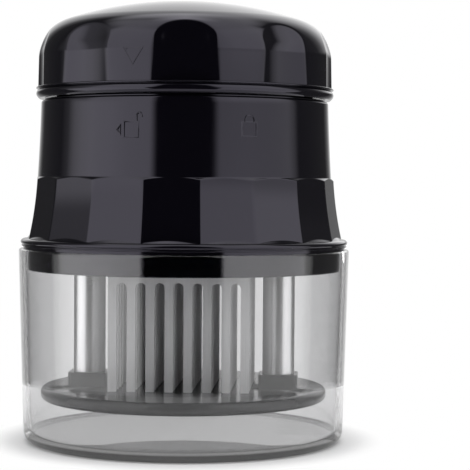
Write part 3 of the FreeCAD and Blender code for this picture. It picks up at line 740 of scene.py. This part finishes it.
flute_angle = np.linspace(0, 2 * math.pi, FLUTES * 48, endpoint=False)[:, None]
turn = np.ones_like(flute_angle)
given_way = flute_depth(flute_angle, outer_dome[None, :, 0], outer_dome[None, :, 1], out, up)
fluted = outer_dome[None, :, 0] - given_way * out
fluted[:, -1] = 0
lifted = outer_dome[None, :, 1] - given_way * up
radius = np.hstack([rim_outline[None, :, 0] * turn, fluted, inner_dome[None, :, 0] * turn])
height = np.hstack([rim_outline[None, :, 1] * turn, lifted, inner_dome[None, :, 1] * turn])
dome = np.stack([radius * np.cos(flute_angle), radius * np.sin(flute_angle), height], -1)
rib = turned(rounded([(RIB_INNER, RIB_TOP, 0), (RIB_INNER, RIB_FOOT, RIB_ROUND),
                      (RIB_OUTER, RIB_FOOT, RIB_ROUND), (RIB_OUTER, RIB_TOP, 0)]), count=144)
grids = [(dome, True, True), (rib, True, True)]
grids += [sector(LUG_INNER, LUG_OUTER, LUG_FOOT, LUG_TOP, zero - LUG_HALF_ANGLE,
                 zero + LUG_HALF_ANGLE) for zero in LUG_ANGLES]
cap = skin("cap_moulding", grids, crease=32.0)
cap.data.materials.append(gloss)
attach(cap, "cap")
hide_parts("cap_shell")

# --- Marks
# A triangle on the cap points at an open padlock on the barrel, and a closed padlock stands where
# the triangle comes to after the twist. They are low rounded ridges of the same mouldings, each
# placed by the angle of its middle and its height.
MARK_WIDTH = 0.6
MARK_RISE = 0.14
MARK_SECTION = ((-1.0, -0.4), (-0.66, 0.55), (0.0, 1.0), (0.66, 0.55), (1.0, -0.4))
TRIANGLE_PLACE = (-104.0, 113.3)
OPEN_LOCK_PLACE = (-105.1, 95.1)
CLOSED_LOCK_PLACE = (-60.6, 95.2)


def ribbon(points, closed, radius_at, middle, height):
    """Raised line on an upright round surface.

    The line's points are (across, up) in millimetres on the unrolled surface. Its section's points
    are moved sideways along the mean of the neighbours' normals, lengthened at a corner, by shares
    of half the width, and outwards by shares of the rise.
    """
    points = np.array(points, float)
    before, after = np.roll(points, 1, 0), np.roll(points, -1, 0)
    if not closed:
        before[0], after[-1] = 2 * points[0] - points[1], 2 * points[-1] - points[-2]
    first = (points - before) / np.linalg.norm(points - before, axis=1)[:, None]
    second = (after - points) / np.linalg.norm(after - points, axis=1)[:, None]
    aim = first + second
    aim /= np.linalg.norm(aim, axis=1)[:, None]
    side = np.stack([-aim[:, 1], aim[:, 0]], -1) / np.maximum(np.sum(aim * first, 1), 0.4)[:, None]
    section = np.array(MARK_SECTION)
    across = points[:, None] + side[:, None] * section[None, ::-1, :1] * MARK_WIDTH / 2
    z = height + across[..., 1]
    radius = radius_at(z) + section[None, ::-1, 1] * MARK_RISE
    angle = math.radians(middle) + across[..., 0] / radius_at(z)
    grid = np.stack([radius * np.cos(angle), radius * np.sin(angle), z], -1)
    if not closed:
        ends = grid[[0, -1]].mean(1, keepdims=True) + 0 * grid[[0, -1]]
        grid = np.concatenate([ends[:1], grid, ends[1:]])
    return grid[::-1], closed, True


def rectangle(width, height, y):
    """Corners of an upright rectangle whose middle is at y."""
    return [(-width / 2, y - height / 2), (width / 2, y - height / 2),
            (width / 2, y + height / 2), (-width / 2, y + height / 2)]


def shackle(radius, leg, x, y, short=0.0):
    """Padlock's bow: two legs joined by a half circle; the far leg may be cut short."""
    turn = np.linspace(math.pi, 0, 13)
    arc = np.stack([x + radius * np.cos(turn), y + leg + radius * np.sin(turn)], -1)
    return np.vstack([[(x - radius, y)], arc, [(x + radius, y + short)]])


def cap_side(z):
    """Cap's radius between two flutes, at a height on its straight side or shoulder."""
    rise = np.maximum(z - SHOULDER, 0)
    share = (z - CAP_RIM_TOP) / (SHOULDER - CAP_RIM_TOP)
    straight = CAP_SIDE_FOOT + (CAP_SIDE_TOP - CAP_SIDE_FOOT) * share
    curved = CAP_SIDE_TOP - SHOULDER_ROUND + np.sqrt(SHOULDER_ROUND ** 2 - rise ** 2)
    return np.where(rise > 0, curved, straight)


triangle = skin("cap_triangle", [
    ribbon([(-2.7, 2.1), (2.7, 2.1), (0, -2.3)], True, cap_side, *TRIANGLE_PLACE)])
open_lock = skin("padlock_open", [
    ribbon(rectangle(4.3, 4.4, y=-2.3), True, barrel_radius, *OPEN_LOCK_PLACE),
    ribbon(shackle(radius=0.75, leg=1.7, x=2.4, y=-0.1, short=1.2), False, barrel_radius,
           *OPEN_LOCK_PLACE),
    ribbon([(-3.3, -1.2), (-3.3, -3.6), (-4.3, -2.4)], True, barrel_radius, *OPEN_LOCK_PLACE)])
closed_lock = skin("padlock_closed", [
    ribbon(rectangle(4.5, 4.0, y=-2.1), True, barrel_radius, *CLOSED_LOCK_PLACE),
    ribbon(shackle(radius=1.4, leg=0.5, x=0, y=-0.1), False, barrel_radius, *CLOSED_LOCK_PLACE)])
for mark, carrier in ((triangle, "cap"), (open_lock, "housing"), (closed_lock, "housing")):
    mark.data.materials.append(gloss)
    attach(mark, carrier)

# --- Cap seal
# Soft flat ring between the neck's top edge and the cap's rib, cut from sheet. The cap turns on it.
SEAL_MIDDLE = 37.6
SEAL_ROUND = 0.25
seal = skin("seal_ring", [(turned(rounded([
    (SEAL_MIDDLE, NECK_TOP, 0), (RIB_OUTER, NECK_TOP, SEAL_ROUND), (RIB_OUTER, RIB_FOOT, SEAL_ROUND),
    (RIB_INNER, RIB_FOOT, SEAL_ROUND), (RIB_INNER, NECK_TOP, SEAL_ROUND),
    (SEAL_MIDDLE, NECK_TOP, 0)])[:-1], count=144), True, True)])
rubber = moulded("dark_seal", ripple=200.0, texture=4000.0, share=0.8, smooth=0.5, rough=0.7,
                 depth=0.00004, Base_Color=(0.02, 0.02, 0.021), IOR=1.5)
seal.data.materials.append(rubber)
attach(seal, "seal")
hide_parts("cap_seal")

# --- Blade combs
# Seven combs stamped from 1 mm stainless sheet, eight pointed blades each. They hang in the block's
# slots on two rods. Each gap between blades ends in a half circle, and each point is ground thin.
ROWS = (-18, -12, -6, 0, 6, 12, 18)
PRONG_PITCH = 5.6
PRONGS = PRONG_PITCH * (np.arange(8) - 3.5)
PRONG_HALF = 1.3
SHEET_THICKNESS = 1.0
TIP = 13.3
POINT = 2.4
SPRING_LINE = 46.9
COMB_TOP = 59.8
TIP_HALF = 0.12
EDGE_ROUND = 0.07

# Drawn, ground or rolled steel, used by every metal: fine lines stretched along one direction,
# with a tone and a roughness that follow them.
grain, given, result = new_group(
    "steel_grain",
    [("Stretch", "vector", (1, 1, 1)), ("Smooth", "float", 0.2), ("Rough", "float", 0.35),
     ("Dark", "colour", (0.5, 0.5, 0.5, 1)), ("Light", "colour", (0.65, 0.65, 0.65, 1))],
    [("Tone", "colour"), ("Height", "float"), ("Roughness", "float")])
where = grain.nodes.new("ShaderNodeTexCoord").outputs["Object"]
scaled = grain.nodes.new("ShaderNodeVectorMath")
scaled.operation = "MULTIPLY"
wire(grain, where, scaled.inputs[0])
wire(grain, given.outputs["Stretch"], scaled.inputs[1])
lines = noise(grain, scaled.outputs["Vector"], scale=1.0, detail=4.0)
cloud = noise(grain, where, scale=90.0, detail=2.0)
wire(grain, lines, result.inputs["Height"])
wire(grain, spread(grain, maths(grain, "ADD", lines, cloud), given.outputs["Smooth"],
                   given.outputs["Rough"], from_low=0.7, from_high=1.3),
     result.inputs["Roughness"])
blend = grain.nodes.new("ShaderNodeMix")
blend.data_type = "RGBA"
wire(grain, spread(grain, lines, 0.0, 1.0, from_low=0.35, from_high=0.65),
     blend.inputs["Factor"])
wire(grain, given.outputs["Dark"], blend.inputs["A"])
wire(grain, given.outputs["Light"], blend.inputs["B"])
wire(grain, blend.outputs["Result"], result.inputs["Tone"])


def steel(name, stretch, smooth, rough, dark, light, depth):
    """Steel with grain: stretch is lines per metre along x, y and z, depth is the lines' depth in
    metres, and roughness and colour run from smooth and dark to rough and light."""
    made, tree, shader = material(name, Metallic=1.0)
    node = place_group(tree, grain, Stretch=stretch, Smooth=smooth, Rough=rough,
                       Dark=(*dark, 1), Light=(*light, 1))
    wire(tree, node.outputs["Tone"], shader.inputs["Base Color"])
    wire(tree, node.outputs["Roughness"], shader.inputs["Roughness"])
    relief(tree, node.outputs["Height"], shader, depth)
    return made


def comb_mesh(name, y):
    """Comb at a y: one flat outline on each face, joined by its cut edges.

    The outline runs along the top, down one side, then along the prongs: each prong is two sides
    and a point, and each gap ends in a half circle. The points are closed by sloping triangles.
    """
    turn = np.linspace(math.pi, 0, 13)
    gap_half = PRONG_PITCH / 2 - PRONG_HALF
    side = PRONGS[-1] + PRONG_HALF
    tips = []
    outline = [(side, COMB_TOP), (-side, COMB_TOP), (-side, TIP + POINT)]
    for number, x in enumerate(PRONGS):
        tips.append((len(outline) - 1, x))
        outline.append((x + PRONG_HALF, TIP + POINT))
        if number < len(PRONGS) - 1:
            crown = np.stack([x + PRONG_PITCH / 2 + gap_half * np.cos(turn),
                              SPRING_LINE + gap_half * np.sin(turn)], -1)
            outline += [tuple(p) for p in crown]
            outline.append((x + PRONG_PITCH - PRONG_HALF, TIP + POINT))
    count = len(outline)
    flat = np.array(outline)
    front = np.stack([flat[:, 0], 0 * flat[:, 0] + y - SHEET_THICKNESS / 2, flat[:, 1]], -1)
    back = front + (0, SHEET_THICKNESS, 0)
    points = [front, back]
    faces = [list(range(count)), [count + k for k in range(count)][::-1]]
    cut = {left for left, _ in tips}
    for k in range(count):
        if k not in cut:
            after = (k + 1) % count
            faces.append([k, count + k, count + after, after])
    for order, (left, x) in enumerate(tips):
        near, far = 2 * count + 2 * order, 2 * count + 2 * order + 1
        points.append(np.array([(x, y - TIP_HALF, TIP), (x, y + TIP_HALF, TIP)]))
        faces += [[left, near, left + 1], [count + left, count + left + 1, far],
                  [left, count + left, far, near], [left + 1, near, far, count + left + 1]]
    mesh = bpy.data.meshes.new(name)
    mesh.from_pydata((np.vstack(points) * MM).tolist(), [], faces)
    cleaned = bmesh.new()
    cleaned.from_mesh(mesh)
    bmesh.ops.recalc_face_normals(cleaned, faces=cleaned.faces)
    cleaned.to_mesh(mesh)
    cleaned.free()
    return mesh


blade_steel = steel("blade_steel", (2600, 2600, 40), smooth=0.74, rough=0.82,
                    dark=(0.84, 0.84, 0.845), light=(0.9, 0.9, 0.905), depth=0.0000002)
for number, y in enumerate(ROWS, 1):
    comb = finished(f"blade_comb_{number}", comb_mesh(f"blade_comb_{number}", y), crease=30.0)
    rolled = comb.modifiers.new("rolled_edge", "BEVEL")
    rolled.width = EDGE_ROUND * MM
    rolled.segments = 2
    rolled.limit_method = "ANGLE"
    rolled.angle_limit = math.radians(50)
    comb.data.materials.append(blade_steel)
    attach(comb, "housing")
    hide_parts(f"comb_{number}")

# --- Press plate
# Black moulded disc that lies on the meat: rounded rim, a slot for every blade and a square boss
# with a socket for each post. A screw from below holds each post in its boss.
CAD_MERGE_DISTANCE = 2e-6


def copy_of(node, name, crease=30.0):
    """Merged, smooth copy of a CAD node's mesh, to carry a finish that flat facets would break."""
    mesh = nodes[node].data.copy()
    mesh.name = name
    mesh.materials.clear()
    merged = bmesh.new()
    merged.from_mesh(mesh)
    bmesh.ops.remove_doubles(merged, verts=merged.verts, dist=CAD_MERGE_DISTANCE)
    merged.to_mesh(mesh)
    merged.free()
    return finished(name, mesh, crease)


plate = copy_of("press_plate", "press_disc")
pressed = moulded("black_plate_plastic", ripple=70.0, texture=5000.0, share=0.3, smooth=0.12,
                  rough=0.17, depth=0.00002, Base_Color=(0.024, 0.024, 0.026), IOR=1.5)
plate.data.materials.append(pressed)
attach(plate, "plate")
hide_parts("press_plate")

# --- Guide posts
# Two ground and polished stainless bars, chamfered at both ends and tapped for their screws. They
# stand in the plate's bosses and slide in the housing's bushes.
POST_X = 28.88
POST_RADIUS = 4.85
POST_FOOT = 15.5
POST_TOP = 70.0
POST_CHAMFER = 0.5
polished = steel("polished_steel", (2500, 2500, 9000), smooth=0.27, rough=0.32,
                 dark=(0.82, 0.82, 0.825), light=(0.88, 0.88, 0.885), depth=0.0000002)
post_outline = refined(rounded([
    (0, POST_FOOT, 0), (POST_RADIUS - POST_CHAMFER, POST_FOOT, 0.1),
    (POST_RADIUS, POST_FOOT + POST_CHAMFER, 0.2), (POST_RADIUS, POST_TOP - POST_CHAMFER, 0.2),
    (POST_RADIUS - POST_CHAMFER, POST_TOP, 0.1), (0, POST_TOP, 0)], count=3), longest=6.0)
for label, side in (("left", -1), ("right", 1)):
    post = skin(f"guide_post_{label}", [
        (turned(post_outline, count=96) + (side * POST_X, 0, 0), True, False)])
    post.data.materials.append(polished)
    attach(post, "plate")
    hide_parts(f"post_{label}")

# --- Springs
# Coil springs wound from drawn stainless wire, with their end turns ground flat. They stand on the
# posts' washers in the spring plate's cups, and shorten as the plate is pressed up.
SPRING_FOOT = 71.5
SPRING_TOP = 114.6
spring_wire = steel("spring_wire", (3000, 3000, 3000), smooth=0.25, rough=0.4,
                    dark=(0.42, 0.42, 0.44), light=(0.55, 0.55, 0.57), depth=0.000001)


def coil(centre_x, turns=8.0, wire_radius=0.6, radius=4.8, around=10, easing=0.55):
    """Round wire along a helix whose pitch is small at both ends.

    The height is the share of the turn, eased by a sine; the section is a circle in the plane of
    the outward and the helix's upright direction.
    """
    share = np.linspace(0, 1, int(turns * 36))[:, None]
    turn = 2 * math.pi * turns * share
    eased = share - easing * np.sin(2 * math.pi * share) / (2 * math.pi)
    rise = SPRING_FOOT + wire_radius + (SPRING_TOP - SPRING_FOOT - 2 * wire_radius) * eased
    slope = np.gradient(rise[:, 0], turn[:, 0])[:, None] / radius
    lean = 1 / np.sqrt(1 + slope ** 2)
    section = np.linspace(0, 2 * math.pi, around, endpoint=False)[None, :]
    out = radius + wire_radius * np.cos(section)
    side = -wire_radius * np.sin(section) * slope * lean
    x = centre_x + out * np.cos(turn) - side * np.sin(turn)
    y = out * np.sin(turn) + side * np.cos(turn)
    z = rise + wire_radius * np.sin(section) * lean
    tube = np.stack([x, y, z], -1)
    ends = tube[[0, -1]].mean(1, keepdims=True) + 0 * tube[[0, -1]]
    return np.concatenate([ends[:1], tube, ends[1:]])[:, ::-1]


for label, side in (("left", -1), ("right", 1)):
    spring = skin(f"coil_spring_{label}", [(coil(side * POST_X), False, True)], crease=60.0)
    spring.data.materials.append(spring_wire)
    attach(spring, "housing")
    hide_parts(f"spring_{label}")
    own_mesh(spring)

# --- Inner mouldings
# Block, deck and spring plate: satin black mouldings that hold the combs, the bushes and the
# springs. Screws from below and above clamp them to the housing.
satin = moulded("black_satin_plastic", ripple=80.0, texture=6000.0, share=0.7, smooth=0.34,
                rough=0.48, depth=0.00002, Base_Color=(0.010, 0.010, 0.011), IOR=1.5)
for node in ("blade_base", "deck_plate", "spring_plate"):
    nodes[node].data.materials.clear()
    nodes[node].data.materials.append(satin)

# --- Guide bushes
# Natural nylon bushes with a flange, moulded and then pressed into the deck. The posts run in
# them.
NYLON_STOPS = ((0.3, (0.70, 0.69, 0.65)), (0.7, (0.78, 0.77, 0.73)))
nylon = moulded("natural_nylon", ripple=120.0, texture=3000.0, share=0.4, smooth=0.35, rough=0.5,
                depth=0.00002, IOR=1.53)
tree = nylon.node_tree
where = tree.nodes.new("ShaderNodeTexCoord").outputs["Object"]
milky = steps(tree, noise(tree, where, scale=70.0, detail=3.0), NYLON_STOPS)
wire(tree, milky, tree.nodes["Principled BSDF"].inputs["Base Color"])
for label in ("left", "right"):
    nodes[f"guide_bush_{label}"].data.materials.clear()
    nodes[f"guide_bush_{label}"].data.materials.append(nylon)

# --- Rods, washers and screws
# Plain stainless fasteners: drawn rods through the combs, turned washers on the posts and
# pan-head and countersunk screws.
fastener = steel("screw_steel", (4000, 4000, 4000), smooth=0.22, rough=0.38,
                 dark=(0.46, 0.46, 0.47), light=(0.6, 0.6, 0.61), depth=0.0000015)
for node in ("comb_rod_left", "comb_rod_right", "post_washer_left", "post_washer_right",
             "blade_base_screws", "plate_screws", "post_screws", "spring_plate_screws"):
    nodes[node].data.materials.clear()
    nodes[node].data.materials.append(fastener)
